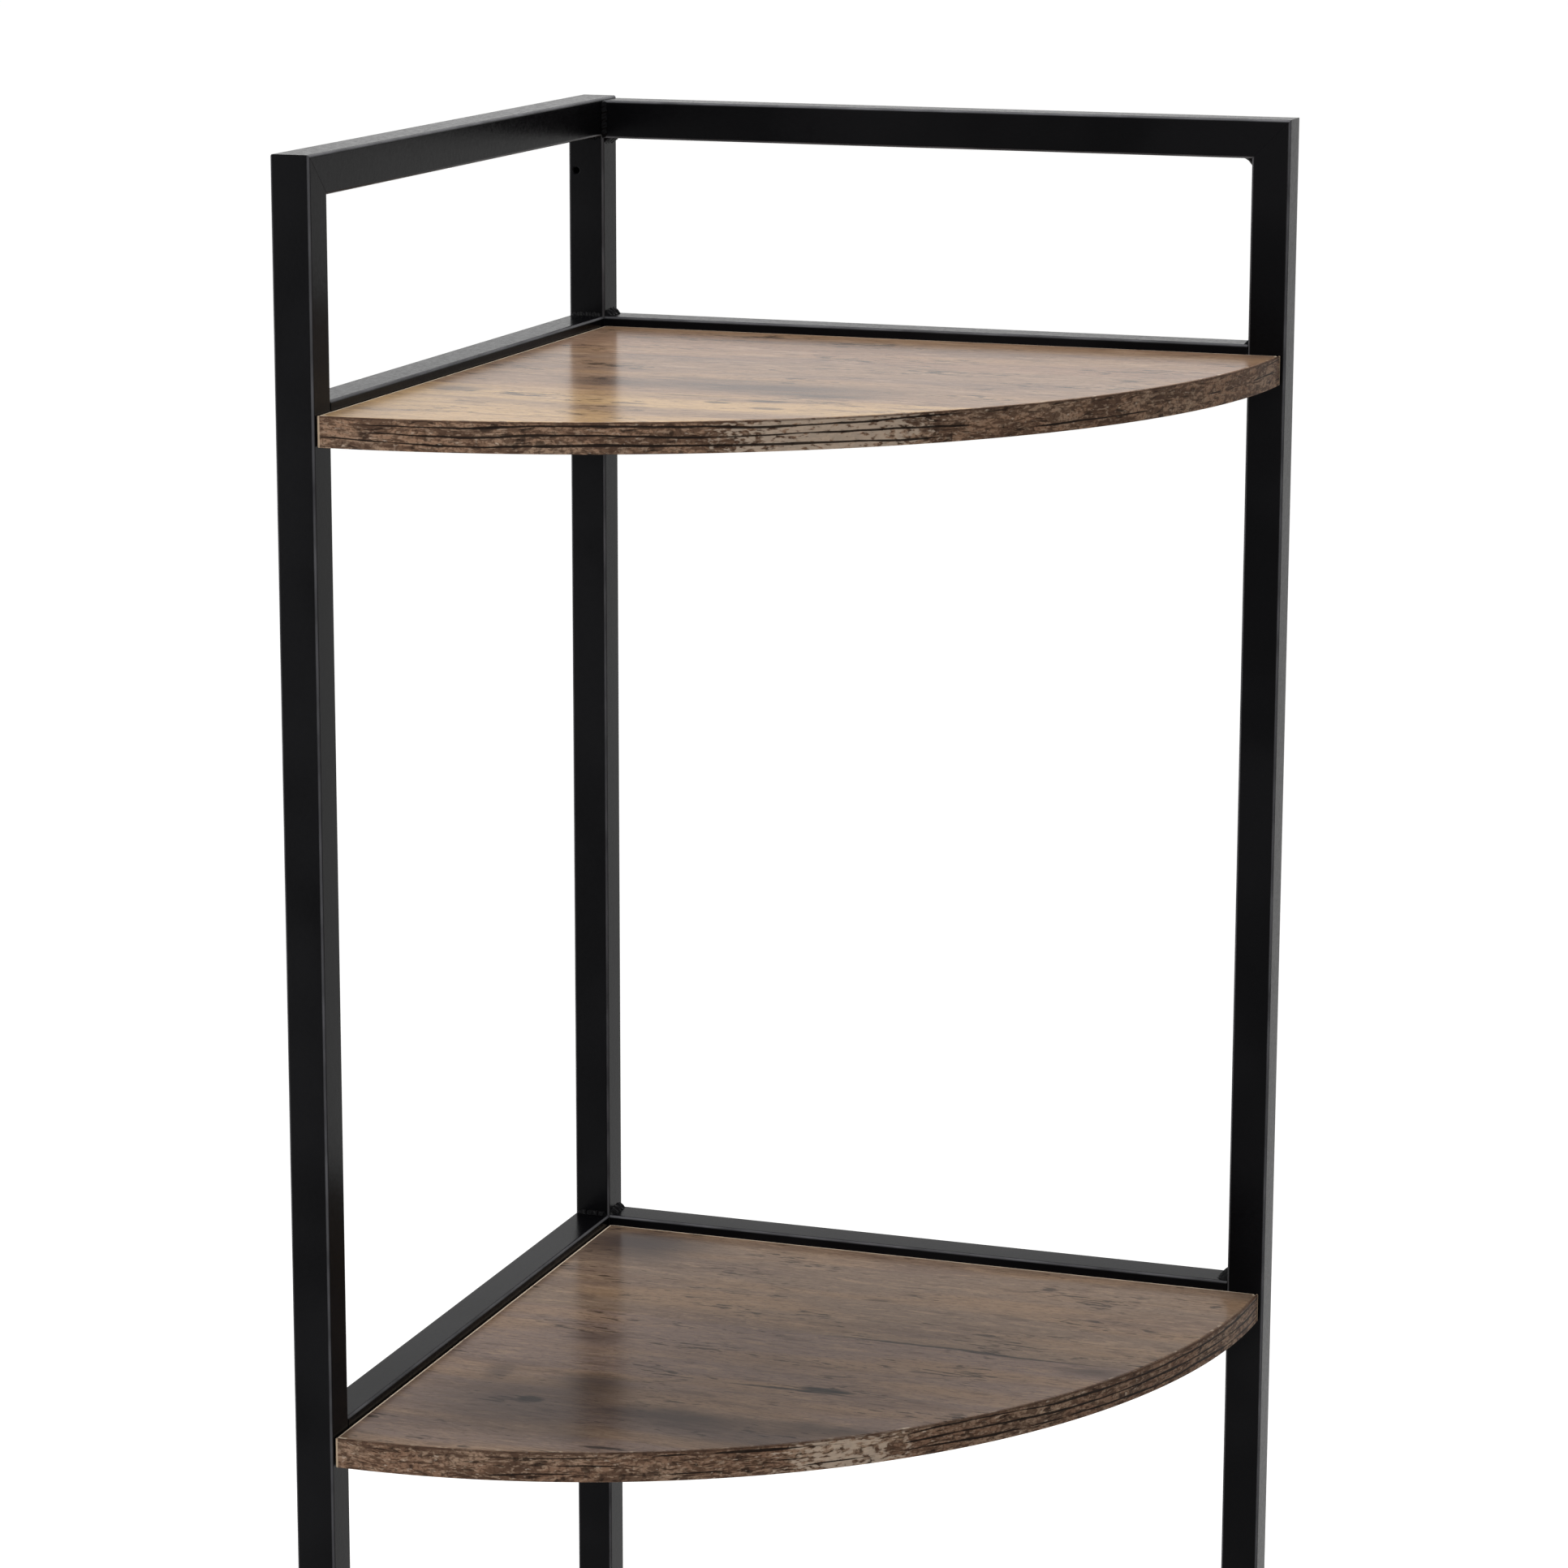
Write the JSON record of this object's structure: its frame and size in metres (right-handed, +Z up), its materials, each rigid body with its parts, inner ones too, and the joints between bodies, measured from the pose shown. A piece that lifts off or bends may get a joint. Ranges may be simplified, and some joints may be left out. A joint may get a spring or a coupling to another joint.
{
  "type": "corner shelf unit",
  "caption": "Tall corner shelf unit with quarter-round boards between the two wings of a welded black square-tube frame, and an open gallery rail on top.",
  "frame": {"origin": "on the floor, under the middle of the unit's square footprint", "axes": "+Z up; the corner leg stands at -X +Y, the left wing runs from it towards -Y and the right wing towards +X, so the open front looks towards +X -Y"},
  "size_m": [0.315, 0.315, 1.38],
  "materials": {
    "frame": "satin black powder coat",
    "board": "satin rustic oak-look melamine on particle board",
    "edge_band": "satin dark grain-printed edge strip",
    "screw": "black zinc-plated",
    "foot": "matt black moulded plastic"
  },
  "bodies": {
    "root": {"left_front_upright": "frame", "corner_upright": "frame", "right_front_upright": "frame", "left_top_rail": "frame", "right_top_rail": "frame", "left_shelf_rail_1": "frame", "left_shelf_rail_2": "frame", "left_shelf_rail_3": "frame", "left_shelf_rail_4": "frame", "right_shelf_rail_1": "frame", "right_shelf_rail_2": "frame", "right_shelf_rail_3": "frame", "right_shelf_rail_4": "frame", "left_back_tab_1": "frame", "left_back_tab_2": "frame", "left_back_tab_3": "frame", "left_back_tab_4": "frame", "left_front_tab_1": "frame", "left_front_tab_2": "frame", "left_front_tab_3": "frame", "left_front_tab_4": "frame", "right_back_tab_1": "frame", "right_back_tab_2": "frame", "right_back_tab_3": "frame", "right_back_tab_4": "frame", "right_front_tab_1": "frame", "right_front_tab_2": "frame", "right_front_tab_3": "frame", "right_front_tab_4": "frame", "shelf_board_1": "board", "shelf_board_2": "board", "shelf_board_3": "board", "shelf_board_4": "board", "edge_band_1": "edge_band", "edge_band_2": "edge_band", "edge_band_3": "edge_band", "edge_band_4": "edge_band", "left_back_screw_1": "screw", "left_back_screw_2": "screw", "left_back_screw_3": "screw", "left_back_screw_4": "screw", "left_front_screw_1": "screw", "left_front_screw_2": "screw", "left_front_screw_3": "screw", "left_front_screw_4": "screw", "right_back_screw_1": "screw", "right_back_screw_2": "screw", "right_back_screw_3": "screw", "right_back_screw_4": "screw", "right_front_screw_1": "screw", "right_front_screw_2": "screw", "right_front_screw_3": "screw", "right_front_screw_4": "screw", "left_foot": "foot", "corner_foot": "foot", "right_foot": "foot"}
  },
  "joints": []
}
